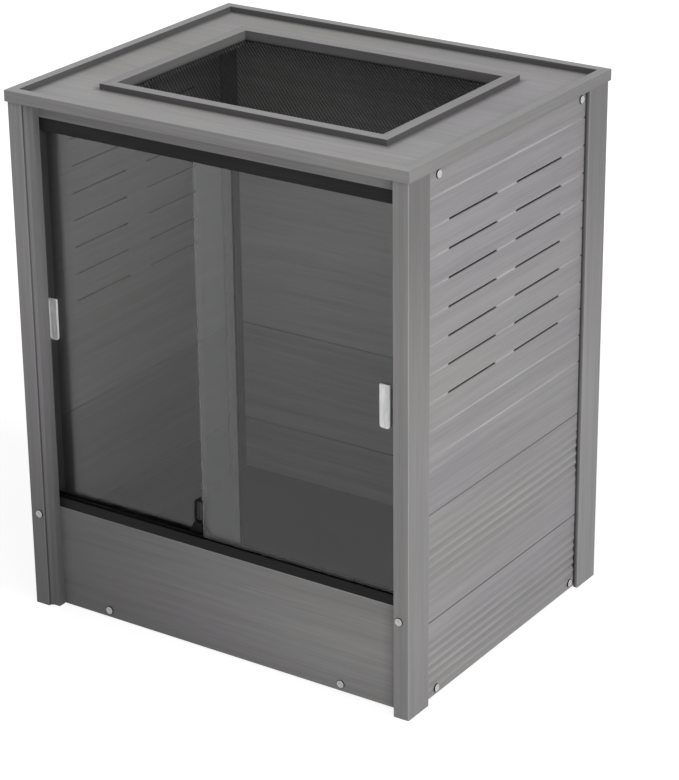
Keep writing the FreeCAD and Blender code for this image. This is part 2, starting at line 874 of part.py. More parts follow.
def rectangle_wire(x0, y0, x1, y1, z):
    """A closed rectangle in a level plane."""
    corners = [Vector(x0, y0, z), Vector(x1, y0, z), Vector(x1, y1, z), Vector(x0, y1, z)]
    return Part.makePolygon(corners + corners[:1])


def mesh():
    """The mesh: one sheet with a grid of square gaps inside the frame's window."""
    half_x = (opening_x - S["frame_play"]).number
    half_y = (opening_y - S["frame_play"]).number
    columns = COUNTS["mesh_columns"]
    rows = COUNTS["mesh_rows"]
    step_x = (mesh_window_x * 2).number / columns
    step_y = (mesh_window_y * 2).number / rows
    wall = (S["mesh_bar"] / 2).number
    level = post_top.number
    wires = [rectangle_wire(-half_x, -half_y, half_x, half_y, level)]
    for column in range(columns):
        for row in range(rows):
            x = column * step_x - mesh_window_x.number
            y = row * step_y - mesh_window_y.number
            gap = rectangle_wire(x + wall, y + wall, x + step_x - wall, y + step_y - wall, level)
            wires.append(gap)
    face = Part.Face(wires, "Part::FaceMakerBullseye")
    piece = doc.addObject("Part::Feature", "mesh_screen_sheet")
    piece.Shape = face.extrude(Vector(0, 0, S["mesh_thickness"].number))
    keep(piece, "mesh_screen")


def retainers():
    """Four strips under the cap panel that hold the mesh up against its frame."""
    out_x = mesh_window_x + S["retainer_width"]
    out_y = mesh_window_y + S["retainer_width"]
    zs = (post_top - S["retainer_thickness"], post_top)
    strips = []
    for number, side in enumerate((-1, 1)):
        ys = sorted((mesh_window_y * side, out_y * side), key=lambda y: y.number)
        strips.append(box(f"long_retainer_{number}", (-out_x, out_x), ys, zs))
        xs = sorted((mesh_window_x * side, out_x * side), key=lambda x: x.number)
        strips.append(box(f"short_retainer_{number}", xs, (-mesh_window_y, mesh_window_y), zs))
    group = doc.addObject("Part::Compound", "mesh_retainers_group")
    group.Links = strips
    keep(group, "mesh_retainers")


def check_all():
    """Stop if any object failed or any finished piece is empty or invalid."""
    doc.recompute()
    for item in doc.Objects:
        if "Invalid" in item.State or "Error" in item.State:
            raise RuntimeError(f"{item.Name} failed: {item.State}")
    for piece in NODES:
        if piece.Shape.isNull() or not piece.Shape.isValid():
            raise RuntimeError(f"{piece.Label} has no valid shape")


def export_all():
    """Write every finished piece to its own file."""
    os.makedirs("parts", exist_ok=True)
    for piece in NODES:
        piece.Shape.exportStep(f"parts/{piece.Label}.step")
        print(piece.Label, len(piece.Shape.Solids), round(piece.Shape.Volume))


posts()
stop_strip()
walls()
front_boards()
battens()
floor()
tracks()
doors()
latch_plate()
latch_lever()
rim()
top_panel()
mesh_frame()
mesh()
retainers()
bolts()
check_all()
export_all()
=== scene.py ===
import math
from collections import namedtuple

import bpy
from mathutils import Matrix, Vector


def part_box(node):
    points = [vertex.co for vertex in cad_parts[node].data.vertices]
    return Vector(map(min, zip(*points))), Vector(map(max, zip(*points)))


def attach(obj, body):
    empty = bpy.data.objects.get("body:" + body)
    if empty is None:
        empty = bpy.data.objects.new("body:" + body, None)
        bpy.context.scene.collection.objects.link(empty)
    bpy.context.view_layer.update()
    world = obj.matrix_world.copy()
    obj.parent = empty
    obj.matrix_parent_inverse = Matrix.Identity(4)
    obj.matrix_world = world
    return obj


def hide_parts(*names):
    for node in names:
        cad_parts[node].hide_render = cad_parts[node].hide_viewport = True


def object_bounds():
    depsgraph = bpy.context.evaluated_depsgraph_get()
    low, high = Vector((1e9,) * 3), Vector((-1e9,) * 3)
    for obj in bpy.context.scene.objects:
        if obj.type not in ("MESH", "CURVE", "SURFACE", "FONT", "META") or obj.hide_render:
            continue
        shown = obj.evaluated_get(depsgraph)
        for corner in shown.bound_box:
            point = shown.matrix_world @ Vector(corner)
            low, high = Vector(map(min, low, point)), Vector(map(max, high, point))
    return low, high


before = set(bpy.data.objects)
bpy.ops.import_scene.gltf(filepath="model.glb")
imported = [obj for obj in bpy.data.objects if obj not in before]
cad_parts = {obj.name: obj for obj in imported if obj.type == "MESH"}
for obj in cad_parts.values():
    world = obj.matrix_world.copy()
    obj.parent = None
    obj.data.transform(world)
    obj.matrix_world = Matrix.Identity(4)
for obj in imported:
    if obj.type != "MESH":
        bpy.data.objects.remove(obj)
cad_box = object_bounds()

# A chameleon cage: a tall cabinet of grey boards with two sliding glass panes and a mesh top.
# Metres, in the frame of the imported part: +X to the cage's right, +Y to the back, +Z up.

MM = 0.001
X, Y, Z = 0, 1, 2


# Materials

# The middle of a signal that runs from 0 to 1
MIDDLE = 0.5


class Nodes:
    """A node tree under construction. Its methods add nodes and pass sockets on."""

    def __init__(self, tree):
        self.nodes = tree.nodes
        self.links = tree.links
        self.nodes.clear()

    def node(self, kind, inputs=None, **settings):
        """Add a node, set it up, and fill its inputs with values or sockets."""
        made = self.nodes.new(f"ShaderNode{kind}")
        for name, value in settings.items():
            setattr(made, name, value)
        for key, value in (inputs or {}).items():
            if isinstance(value, bpy.types.NodeSocket):
                self.links.new(value, made.inputs[key])
            else:
                made.inputs[key].default_value = value
        return made

    def noise(self, vector, detail, scale=1.0, roughness=0.5):
        """Fractal noise from 0 to 1."""
        inputs = {"Vector": vector, "Scale": scale, "Detail": detail, "Roughness": roughness}
        return self.node("TexNoise", inputs).outputs[0]

    def math(self, operation, first, second=0.0):
        """One arithmetic step; some take only the first value."""
        inputs = {0: first, 1: second}
        return self.node("Math", inputs, operation=operation).outputs["Value"]

    def blend(self, signals, weights):
        """A weighted sum of signals, each taken about its middle, centred on a half."""
        total = MIDDLE
        for signal, weight in zip(signals, weights):
            centred = self.math("SUBTRACT", signal, MIDDLE)
            weighted = self.math("MULTIPLY", centred, weight)
            total = self.math("ADD", weighted, total)
        return total

    def ranged(self, signal, low, high):
        """A signal from 0 to 1 spread over another range."""
        inputs = {"Value": signal, "To Min": low, "To Max": high}
        return self.node("MapRange", inputs).outputs["Result"]

    def ramp(self, signal, stops):
        """A colour looked up from a signal; each stop is a place and a colour."""
        made = self.node("ValToRGB", {"Fac": signal})
        elements = made.color_ramp.elements
        while len(elements) < len(stops):
            elements.new(MIDDLE)
        for element, (place, colour) in zip(elements, stops):
            element.position = place
            element.color = (*colour, 1.0)
        return made.outputs["Color"]

    def tint(self, colour, other, factor):
        """A colour multiplied by another, by a factor."""
        inputs = {0: factor, 6: colour, 7: other}
        return self.node("Mix", inputs, data_type="RGBA", blend_type="MULTIPLY").outputs[2]

    def mixed(self, colour, other, factor):
        """A colour that turns into another by a factor."""
        inputs = {0: factor, 6: colour, 7: other}
        return self.node("Mix", inputs, data_type="RGBA").outputs[2]

    def bump(self, height, distance):
        """A normal from a height; the distance is in metres."""
        return self.node("Bump", {"Height": height, "Distance": distance}).outputs["Normal"]


# A grain: features per metre across and along it, its own seed, its detail and its roughness
Grain = namedtuple("Grain", "across along seed detail roughness", defaults=(2, 0.5))

# How far each unit of a seed shifts a texture along the three axes
SEED_SHIFTS = (3.7, 1.3, 2.1)


class Material(Nodes):
    """A node material under construction, textured by object coordinates and normals."""

    def __init__(self, name):
        self.data = bpy.data.materials.new(name)
        self.data.use_nodes = True
        super().__init__(self.data.node_tree)
        place = self.node("TexCoord").outputs
        self.coordinates = place["Object"]
        self.normal = place["Normal"]

    def grained(self, grain, axis, seed=0):
        """Fractal noise from 0 to 1 that runs along an axis."""
        scale = [grain.across] * 3
        scale[axis] = grain.along
        place = [(seed + grain.seed) * shift for shift in SEED_SHIFTS]
        inputs = {"Vector": self.coordinates, "Scale": scale, "Location": place}
        vector = self.node("Mapping", inputs).outputs["Vector"]
        return self.noise(vector, detail=grain.detail, roughness=grain.roughness)

    def surface(self, shader):
        """Close the material with its surface shader."""
        self.node("OutputMaterial", {"Surface": shader.outputs[0]})
        return self.data


def grey(level):
    """A colour without hue."""
    return (level, level, level, 1.0)


def toned(stops, tone):
    """The stops of a ramp with every colour made lighter or darker alike."""
    return [(place, tuple(tone * channel for channel in colour)) for place, colour in stops]


def entry_for(table, node, otherwise=None):
    """The first entry of a table whose word is in a node's name."""
    for word, entry in table:
        if word in node:
            return entry
    return otherwise


# Ramps: the boards' greys, the floor panel's darker greys, and faint warm and cool hues
GREYS = (
    (0.20, (0.256, 0.251, 0.254)),
    (0.50, (0.302, 0.297, 0.300)),
    (0.80, (0.348, 0.343, 0.346)),
)
FLOOR_GREYS = (
    (0.20, (0.049, 0.049, 0.049)),
    (0.50, (0.060, 0.059, 0.059)),
    (0.80, (0.071, 0.070, 0.069)),
)
HUES = ((0.38, (1.0, 0.997, 0.975)), (0.62, (0.990, 0.972, 0.994)))

# The boards' brushed surface: its grains, their weights in the tone and the relief, its gloss
BANDS = Grain(9, 0.6, 0)
PATCHES = Grain(5, 3, 2, 3)
STREAKS = Grain(75, 1.8, 5, 4, 0.6)
FIBRES = Grain(600, 10, 9)
HUE_BANDS = Grain(4, 1.5, 12)
TONE_WEIGHTS = (0.8, 0.35, 1.05, 0.7)
RELIEF_WEIGHTS = (1.2, 0.8)
BOARD_RELIEF = 0.12 * MM
BOARD_ROUGHNESS = (0.46, 0.66)
BOARD_SPECULAR = 0.35

# The upper wall boards' height in groove steps, and how many steps at their foot are plain
WALL_STEPS = 12
PLAIN_STEPS = 2
HALF_STEP = 0.5

# Ripples of the other wall boards, measured down from a board's head
RIPPLE_PITCH = 15.6 * MM
RIPPLE_DEPTH = 2.1 * MM
RIPPLE_PEAK = 82 * MM
RIPPLE_SPREAD = 48 * MM
RIPPLE_POWER = 1.2
UNEVEN_SHARE = 0.25
UNEVEN_RATE = 2.4
HAIRLINE_DROP = 141 * MM
HAIRLINE_WIDTH = 1.6 * MM
HAIRLINE_DEPTH = 0.6 * MM

# Marks on the wall boards: how far each one reaches and how strong it is.
# The light lines are painted highlights; the darker troughs, seams, joints, groove ends, cut faces,
# inner faces and front corners are painted shade
GROOVE_LIGHT_CORE = 0.8 * MM
GROOVE_LIGHT_REACH = 2.6 * MM
GROOVE_LIGHT_FADE = 110 * MM
NOTCH_REACH = 3.0 * MM
NOTCH_LENGTH = 10 * MM
SEAM_REACH = 1.5 * MM
JOINT_REACH = 3.5 * MM
OUTER_SKIN = 2.6 * MM
INNER_SKIN = 2.4 * MM
# The grey of the painted highlights on the wall boards' grooves and crests
WALL_HIGHLIGHT_GREY = (0.550, 0.543, 0.540, 1.0)
GROOVE_LIGHT_GRAIN = Grain(40, 7, 3, 3)
GROOVE_LIGHT_RANGE = (0.1, 1.1)
GROOVE_LIGHT_END_SHARE = 0.45
CREST_GRAIN = Grain(90, 5, 4, 3)
CREST_RANGE = (0.0, 0.44)
CREST_POWER = 2.0
# Painted shade in the ripples' troughs
TROUGH_SHADE = grey(0.84)
SEAM_SHADE = grey(0.35)
INNER_SEAM_SHARE = 0.3
JOINT_SHADE = grey(0.20)
CUT_FACE_SHADE = grey(0.03)
# Painted shade on the left wall's inner faces
INNER_SHADES = (
    ("left_upper", grey(0.76)),
    ("left_middle", grey(0.57)),
    ("left_lower", grey(0.49)),
)
# Painted shade in the side walls' inner front corners
CORNER_REACH = 70 * MM
CORNER_SHADE = grey(0.25)

# Painted shade on the cap: along the panel's edges and on upright sides
CONTACT_REACH = 14.0 * MM
CONTACT_SHADE = grey(0.46)
RIM_SHADE = grey(0.40)
FRAME_SHADE = grey(0.57)
FRAME_OUTER_SHADE = grey(0.66)
FRAME_FOOT_REACH = 5.0 * MM

# Painted shade on the posts: between a post and a wall, inwards, outwards, and outwards near the
# head
POST_SHADE = grey(0.24)
POST_SHADE_REACH = 7.5 * MM
POST_INNER_SHADE = grey(0.40)
POST_OUTER_SHADE = grey(0.92)
POST_HEAD_SHADE = grey(0.68)
POST_HEAD_REACH = 520 * MM

# Painted highlights along edges and on the rim's top, and painted shade towards the foot of the
# left front corner
ARRIS_REACH = 2.6 * MM
TRIM_HIGHLIGHT_GREY = grey(0.42)
ARRIS_GRAIN = Grain(60, 9, 5, 3)
ARRIS_RANGE = (0.1, 1.0)
RIM_TOP_HIGHLIGHT_SHARE = 0.45
FOOT_SHADE = grey(0.54)
FOOT_REACH = 600 * MM

# How near a place or a direction must come to count as meeting another
SLACK = 1.0 * MM
FACING = 0.7


def within(made, distance, reach, core=0.0):
    """One at a distance of nought, falling smoothly to nought at a reach."""
    inputs = {"Value": distance, "From Min": core, "From Max": reach, "To Min": 1.0, "To Max": 0.0}
    return made.node("MapRange", inputs, interpolation_type="SMOOTHSTEP").outputs["Result"]


def parts_of(made, vector):
    """The three parts of a vector."""
    return made.node("SeparateXYZ", {"Vector": vector}).outputs


class WallBoard:
    """A wall board's place: its outward axis and side, its length axis, its box and its grooves."""

    def __init__(self, node):
        self.out = Y if node.startswith("rear") else X
        self.run = X if self.out == Y else Y
        self.side = -1 if node.startswith("left") else 1
        self.low, self.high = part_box(node)
        self.thickness = self.high[self.out] - self.low[self.out]
        self.surface = (self.high if self.side > 0 else self.low)[self.out]
        self.visible_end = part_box("rear_right_post")[0][self.run]
        self.pitch = (self.high[Z] - self.low[Z]) / WALL_STEPS
        self.grooved = node.endswith("upper_board")
        self.inner_shade = entry_for(INNER_SHADES, node)

    def from_post(self, made):
        """How far a place on the board lies from the nearer post."""
        from_middle = made.math("ABSOLUTE", parts_of(made, made.coordinates)[self.run])
        return made.math("SUBTRACT", self.visible_end, from_middle)

    def painted_grooves(self, made, colour, height):
        """Painted highlights along the grooves' edges, and painted shade where the grooves end at
        the posts.
        """
        lowest = self.low[Z] + PLAIN_STEPS * self.pitch
        steps = made.math("DIVIDE", made.math("SUBTRACT", height, lowest), self.pitch)
        away = made.math("MULTIPLY", made.math("PINGPONG", steps, HALF_STEP), self.pitch)
        grooved = made.math("GREATER_THAN", steps, -HALF_STEP)
        mask = made.math("MULTIPLY", within(made, away, GROOVE_LIGHT_REACH, GROOVE_LIGHT_CORE), grooved)
        painted_light = made.ranged(made.grained(GROOVE_LIGHT_GRAIN, self.run), *GROOVE_LIGHT_RANGE)
        from_post = self.from_post(made)
        kept = made.ranged(within(made, from_post, GROOVE_LIGHT_FADE), 1.0, GROOVE_LIGHT_END_SHARE)
        painted_light = made.math("MULTIPLY", painted_light, kept)
        colour = made.mixed(colour, WALL_HIGHLIGHT_GREY, made.math("MULTIPLY", mask, painted_light))
        notch = made.math("MULTIPLY", within(made, away, NOTCH_REACH), grooved)
        notch = made.math("MULTIPLY", notch, within(made, from_post, NOTCH_LENGTH))
        return made.tint(colour, JOINT_SHADE, notch)

    def painted_ripples(self, made, colour, height):
        """Painted highlights on the crests and painted shade in the troughs along the ripples."""
        from_peak = made.math("SUBTRACT", self.high[Z] - RIPPLE_PEAK, height)
        swell = within(made, made.math("ABSOLUTE", from_peak), 2 * RIPPLE_SPREAD)
        turns = made.math("MULTIPLY", from_peak, math.pi / RIPPLE_PITCH)
        trough = made.math("ABSOLUTE", made.math("COSINE", turns))
        colour = made.tint(colour, TROUGH_SHADE, made.math("MULTIPLY", swell, trough))
        crest = made.math("POWER", made.math("SUBTRACT", 1.0, trough), CREST_POWER)
        painted_light = made.ranged(made.grained(CREST_GRAIN, self.run), *CREST_RANGE)
        painted_light = made.math("MULTIPLY", painted_light, swell)
        return made.mixed(colour, WALL_HIGHLIGHT_GREY, made.math("MULTIPLY", crest, painted_light))

    def marks(self, made, colour):
        """The board's colour with painted highlights, and painted shade in the seams, at the joints
        with the posts, on the cut faces of the slots, on the inner face and near the front corner.
        """
        places = parts_of(made, made.coordinates)
        height = places[Z]
        depth = made.math("SUBTRACT", self.surface, places[self.out])
        depth = made.math("MULTIPLY", depth, self.side)
        painted_light = self.painted_grooves if self.grooved else self.painted_ripples
        outside = made.math("LESS_THAN", depth, OUTER_SKIN)
        colour = made.mixed(colour, painted_light(made, colour, height), outside)
        from_foot = made.math("SUBTRACT", height, self.low[Z])
        from_head = made.math("SUBTRACT", self.high[Z], height)
        inside = made.math("GREATER_THAN", depth, self.thickness - INNER_SKIN)
        seam = within(made, made.math("MINIMUM", from_foot, from_head), SEAM_REACH)
        if self.out == X:
            seam = made.math("MULTIPLY", seam, made.ranged(inside, 1.0, INNER_SEAM_SHARE))
        colour = made.tint(colour, SEAM_SHADE, seam)
        colour = made.tint(colour, JOINT_SHADE, within(made, self.from_post(made), JOINT_REACH))
        # Painted shade on the cut faces inside the slots
        cut_faces = made.math("SUBTRACT", made.math("GREATER_THAN", depth, OUTER_SKIN), inside)
        colour = made.tint(colour, CUT_FACE_SHADE, cut_faces)
        if self.inner_shade:
            colour = made.tint(colour, self.inner_shade, inside)
        if self.out == Y:
            return colour
        from_front = made.math("ADD", places[Y], self.visible_end)
        corner = made.math("MULTIPLY", inside, within(made, from_front, CORNER_REACH))
        return made.tint(colour, CORNER_SHADE, corner)


def beyond(made, half):
    """How far a place lies outside a rectangle about the cage's axis; less than nought inside."""
    places = parts_of(made, made.coordinates)
    gaps = []
    for axis in (X, Y):
        from_middle = made.math("ABSOLUTE", places[axis])
        gaps.append(made.math("SUBTRACT", from_middle, half[axis]))
    return made.math("MAXIMUM", *gaps)


def upright(made):
    """One on upright sides, nought on level ones."""
    level = made.math("ABSOLUTE", parts_of(made, made.normal)[Z])
    return made.math("LESS_THAN", level, FACING)


def panel_half():
    """Half the sizes of the cap's panel inside the rim."""
    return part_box("cap_rim_right")[0][X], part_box("cap_rim_rear")[0][Y]


def frame_half():
    """Half the outer sizes of the mesh frame."""
    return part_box("mesh_frame_right")[1][X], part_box("mesh_frame_rear")[1][Y]


def frame_marks(made, colour):
    """Painted shade on the mesh frame's upright sides, darkest outside and where they meet the
    mesh.
    """
    colour = made.tint(colour, FRAME_SHADE, upright(made))
    outer = made.math("GREATER_THAN", beyond(made, frame_half()), -SLACK)
    colour = made.tint(colour, FRAME_OUTER_SHADE, made.math("MULTIPLY", outer, upright(made)))
    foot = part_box("mesh_frame_front")[0][Z]
    from_foot = made.math("SUBTRACT", parts_of(made, made.coordinates)[Z], foot)
    return made.tint(colour, JOINT_SHADE, within(made, from_foot, FRAME_FOOT_REACH))


def rim_marks(made, colour):
    """A painted highlight on the rim's top and painted shade on its inner sides."""
    level = made.math("SUBTRACT", 1.0, upright(made))
    colour = made.mixed(colour, TRIM_HIGHLIGHT_GREY, made.math("MULTIPLY", level, RIM_TOP_HIGHLIGHT_SHARE))
    inside = made.math("LESS_THAN", beyond(made, panel_half()), SLACK)
    return made.tint(colour, RIM_SHADE, made.math("MULTIPLY", inside, upright(made)))


def panel_marks(made, colour):
    """Soft painted shade on the panel beside the mesh frame and along the rim."""
    from_rim = made.math("MULTIPLY", beyond(made, panel_half()), -1.0)
    colour = made.tint(colour, CONTACT_SHADE, within(made, from_rim, CONTACT_REACH))
    from_frame = beyond(made, frame_half())
    return made.tint(colour, CONTACT_SHADE, within(made, from_frame, CONTACT_REACH))


def foot_marks(made, colour):
    """Painted shade towards the foot of the left front corner."""
    inputs = {0: made.coordinates, 1: (*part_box("front_left_post")[0],)}
    away = made.node("VectorMath", inputs, operation="DISTANCE").outputs["Value"]
    return made.tint(colour, FOOT_SHADE, within(made, away, FOOT_REACH))


def patchy(made, axis):
    """Painted highlight that comes and goes along an edge."""
    return made.ranged(made.grained(ARRIS_GRAIN, axis), *ARRIS_RANGE)


def kick_marks(made, colour):
    """The kick board's painted shade towards the left foot and the painted highlight along its
    upper edge.
    """
    height = parts_of(made, made.coordinates)[Z]
    from_head = made.math("SUBTRACT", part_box("kick_board")[1][Z], height)
    line = made.math("MULTIPLY", within(made, from_head, ARRIS_REACH), patchy(made, X))
    return foot_marks(made, made.mixed(colour, TRIM_HIGHLIGHT_GREY, line))


def highlighted_arrises(made, colour):
    """Painted highlights along the posts' upright edges."""
    places = parts_of(made, made.coordinates)
    low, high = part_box("rear_right_post")
    gaps = []
    for axis in (X, Y):
        from_axis = made.math("ABSOLUTE", places[axis])
        from_low = made.math("ABSOLUTE", made.math("SUBTRACT", from_axis, low[axis]))
        from_high = made.math("ABSOLUTE", made.math("SUBTRACT", from_axis, high[axis]))
        gaps.append(made.math("MINIMUM", from_low, from_high))
    mask = within(made, made.math("MAXIMUM", *gaps), ARRIS_REACH)
    return made.mixed(colour, TRIM_HIGHLIGHT_GREY, made.math("MULTIPLY", mask, patchy(made, Z)))


def post_marks(made, colour):
    """Painted edge highlights and painted shade on the posts: darker sides where they face inwards,
    outwards or each other, darker near the head and towards the left foot.
    """
    colour = foot_marks(made, highlighted_arrises(made, colour))
    places = parts_of(made, made.coordinates)
    facing = parts_of(made, made.normal)
    across = made.math("GREATER_THAN", made.math("ABSOLUTE", facing[X]), FACING)
    along = made.math("GREATER_THAN", made.math("ABSOLUTE", facing[Y]), FACING)
    wide = made.math("ABSOLUTE", places[X])
    deep = made.math("ABSOLUTE", places[Y])
    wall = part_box("right_upper_board")
    inner = made.math("LESS_THAN", wide, wall[0][X])
    colour = made.tint(colour, POST_INNER_SHADE, made.math("MULTIPLY", across, inner))
    outer = made.math("GREATER_THAN", wide, wall[1][X])
    outward = made.math("MULTIPLY", across, outer)
    colour = made.tint(colour, POST_OUTER_SHADE, outward)
    from_head = made.math("SUBTRACT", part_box("rear_right_post")[1][Z], places[Z])
    head = made.math("MULTIPLY", outward, within(made, from_head, POST_HEAD_REACH))
    colour = made.tint(colour, POST_HEAD_SHADE, head)
    between = made.math("LESS_THAN", deep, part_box("rear_right_post")[0][Y] + SLACK)
    near = within(made, made.math("SUBTRACT", wide, wall[1][X]), POST_SHADE_REACH)
    mask = made.math("MULTIPLY", made.math("MULTIPLY", along, between), near)
    return made.tint(colour, POST_SHADE, mask)


def board_finish(name, axis, seed, tone=1.0, marks=None, greys=GREYS):
    """A brushed grey board: broad bands, streaks and fine fibres that run along an axis."""
    made = Material(name)
    grains = (BANDS, PATCHES, STREAKS, FIBRES)
    bands, patches, streaks, fibres = [made.grained(grain, axis, seed) for grain in grains]
    signal = made.blend((bands, patches, streaks, fibres), TONE_WEIGHTS)
    colour = made.ramp(signal, toned(greys, tone))
    hue = made.grained(HUE_BANDS, axis, seed)
    colour = made.tint(colour, made.ramp(hue, HUES), 1.0)
    if marks:
        colour = marks(made, colour)
    inputs = {"Base Color": colour, "Specular IOR Level": BOARD_SPECULAR}
    inputs["Roughness"] = made.ranged(streaks, *BOARD_ROUGHNESS)
    height = made.blend((streaks, fibres), RELIEF_WEIGHTS)
    inputs["Normal"] = made.bump(height, BOARD_RELIEF)
    return made.surface(made.node("BsdfPrincipled", inputs))


# The tracks' black plastic
PLASTIC_LINES = Grain(900, 3, 4, 3)
PLASTIC_RUBS = Grain(30, 6, 8, 4)
PLASTIC_WEIGHTS = (0.5, 0.8)
PLASTIC_BLACKS = ((0.3, (0.005, 0.005, 0.0055)), (0.7, (0.012, 0.012, 0.013)))
PLASTIC_ROUGHNESS = (0.38, 0.56)
PLASTIC_SPECULAR = 0.13
PLASTIC_RELIEF = 0.04 * MM


def black_plastic(name, tone):
    """Satin black extrusion with faint lengthwise drawing lines and rubbed patches."""
    made = Material(name)
    lines = made.grained(PLASTIC_LINES, X)
    rubs = made.grained(PLASTIC_RUBS, X)
    signal = made.blend((lines, rubs), PLASTIC_WEIGHTS)
    inputs = {"Base Color": made.ramp(signal, toned(PLASTIC_BLACKS, tone))}
    inputs["Roughness"] = made.ranged(rubs, *PLASTIC_ROUGHNESS)
    inputs["Specular IOR Level"] = PLASTIC_SPECULAR
    inputs["Normal"] = made.bump(lines, PLASTIC_RELIEF)
    return made.surface(made.node("BsdfPrincipled", inputs))


# The panes: their smears, what passes through them, what their shadow keeps, and their gloss
PANE_SMEARS = Grain(14, 5, 3, 5, 0.65)
PANE_ROUGHNESS = (0.0, 0.03)
PANE_TINT = (0.90, 0.91, 0.905, 1.0)
PANE_SHADOW_TINT = (0.36, 0.365, 0.36, 1.0)
PANE_IOR = 1.36


def glass():
    """Clear glass with a slight grey tint and a low gloss; lamps shine through it."""
    made = Material("door_glass_finish")
    pane = made.node("BsdfPrincipled", {
        "Base Color": PANE_TINT,
        "Roughness": made.ranged(made.grained(PANE_SMEARS, Z), *PANE_ROUGHNESS),
        "IOR": PANE_IOR,
        "Transmission Weight": 1.0,
    })
    clear = made.node("BsdfTransparent", {"Color": PANE_SHADOW_TINT})
    shadow_ray = made.node("LightPath").outputs["Is Shadow Ray"]
    inputs = {0: shadow_ray, 1: pane.outputs[0], 2: clear.outputs[0]}
    return made.surface(made.node("MixShader", inputs))


# The pulls' bright steel
STEEL_LINES = Grain(900, 12, 6, 3)
STEEL_SMUDGES = Grain(160, 45, 2, 4, 0.6)
STEEL_WEIGHTS = (0.8, 1.1)
STEEL_GREYS = ((0.3, (0.74, 0.74, 0.75)), (0.7, (0.96, 0.96, 0.96)))
STEEL_ROUGHNESS = (0.60, 0.36)
STEEL_METALLIC = 0.08
STEEL_RELIEF = 0.02 * MM


def bright_metal():
    """Bright rolled steel with drawing lines up and down and a few dull smudges."""
    made = Material("bright_metal_finish")
    lines = made.grained(STEEL_LINES, Z)
    smudges = made.grained(STEEL_SMUDGES, Z)
    signal = made.blend((lines, smudges), STEEL_WEIGHTS)
    inputs = {"Base Color": made.ramp(signal, STEEL_GREYS), "Metallic": STEEL_METALLIC}
    inputs["Roughness"] = made.ranged(signal, *STEEL_ROUGHNESS)
    inputs["Normal"] = made.bump(lines, STEEL_RELIEF)
    return made.surface(made.node("BsdfPrincipled", inputs))


# The bolt faces' zinc
ZINC_MOTTLE = Grain(420, 420, 5, 4, 0.6)
ZINC_SCRATCHES = Grain(2200, 120, 9)
ZINC_WEIGHTS = (0.9, 0.4)
ZINC_GREYS = ((0.3, (0.46, 0.46, 0.46)), (0.7, (0.66, 0.66, 0.65)))
ZINC_ROUGHNESS = (0.36, 0.56)
ZINC_METALLIC = 0.3
ZINC_RELIEF = 0.05 * MM


def bolt_metal():
    """Zinc-grey bolt faces, mottled and a little scratched."""
    made = Material("bolt_finish")
    mottle = made.grained(ZINC_MOTTLE, Z)
    scratches = made.grained(ZINC_SCRATCHES, X)
    signal = made.blend((mottle, scratches), ZINC_WEIGHTS)
    inputs = {"Base Color": made.ramp(signal, ZINC_GREYS), "Metallic": ZINC_METALLIC}
    inputs["Roughness"] = made.ranged(mottle, *ZINC_ROUGHNESS)
    inputs["Normal"] = made.bump(signal, ZINC_RELIEF)
    return made.surface(made.node("BsdfPrincipled", inputs))


# The black metal of the latch, the mesh and the bolts' bodies, whose black sides are painted shade
# round the heads
METAL_PEEL = Grain(1500, 1500, 3)
METAL_DUST = Grain(22, 22, 7, 5, 0.65)
METAL_BLACKS = ((0.35, (0.004, 0.004, 0.004)), (0.70, (0.008, 0.008, 0.008)))
METAL_ROUGHNESS = (0.34, 0.55)
METAL_SPECULAR = 0.08
METAL_RELIEF = 0.04 * MM


def black_metal(name, axis):
    """Black coated metal with a fine orange-peel surface and dust in patches."""
    made = Material(name)
    peel = made.grained(METAL_PEEL, axis)
    dust = made.grained(METAL_DUST, axis)
    inputs = {"Base Color": made.ramp(dust, METAL_BLACKS)}
    inputs["Roughness"] = made.ranged(dust, *METAL_ROUGHNESS)
    inputs["Specular IOR Level"] = METAL_SPECULAR
    inputs["Normal"] = made.bump(peel, METAL_RELIEF)
    return made.surface(made.node("BsdfPrincipled", inputs))


# Mesh building

def add_mesh(name, points, faces, finish, body, replaced):
    """Make a piece from points and faces that rides on a body and stands for a CAD node."""
    mesh = bpy.data.meshes.new(name)
    mesh.from_pydata(points, [], faces)
    mesh.validate()
    mesh.polygons.foreach_set("use_smooth", [True] * len(mesh.polygons))
    mesh.materials.append(finish)
    piece = bpy.data.objects.new(name, mesh)
    bpy.context.collection.objects.link(piece)
    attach(piece, body)
    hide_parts(replaced)
    return piece


def bridge(rings):
    """Quads between successive rings of equal length, numbered ring by ring."""
    faces = []
    size = len(rings[0])
    for lower in range(len(rings) - 1):
        base = lower * size
        for here in range(size):
            there = (here + 1) % size
            faces.append((base + here, base + there, base + size + there, base + size + here))
    return faces


def capped(rings):
    """The quads of successive closed rings and the two faces that close their ends."""
    size = len(rings[0])
    faces = bridge(rings)
    faces.append(tuple(reversed(range(size))))
    faces.append(tuple(range(size * (len(rings) - 1), size * len(rings))))
    return faces


SHARP_ANGLE = math.radians(35)


def sharp_edges(piece):
    """Smooth shading that keeps the edges over an angle sharp."""
    selected = {"object": piece, "active_object": piece, "selected_editable_objects": [piece]}
    with bpy.context.temp_override(**selected):
        bpy.ops.object.shade_smooth_by_angle(angle=SHARP_ANGLE)


# Wall boards with a rippled outer face

EDGE_EASE = 1.8 * MM
PROFILE_STEP = 1.3 * MM
SECTION_STEP = 20 * MM

# Waves that bend the ripples: how far, how fast along the board, and how much of the seed
WAVES = ((0.9 * MM, 13, 1), (0.6 * MM, 31, 2))


def wander_at(place, seed):
    """How far the ripples stray up or down at a place along a board."""
    return sum(reach * math.sin(place * rate + seed * shift) for reach, rate, shift in WAVES)


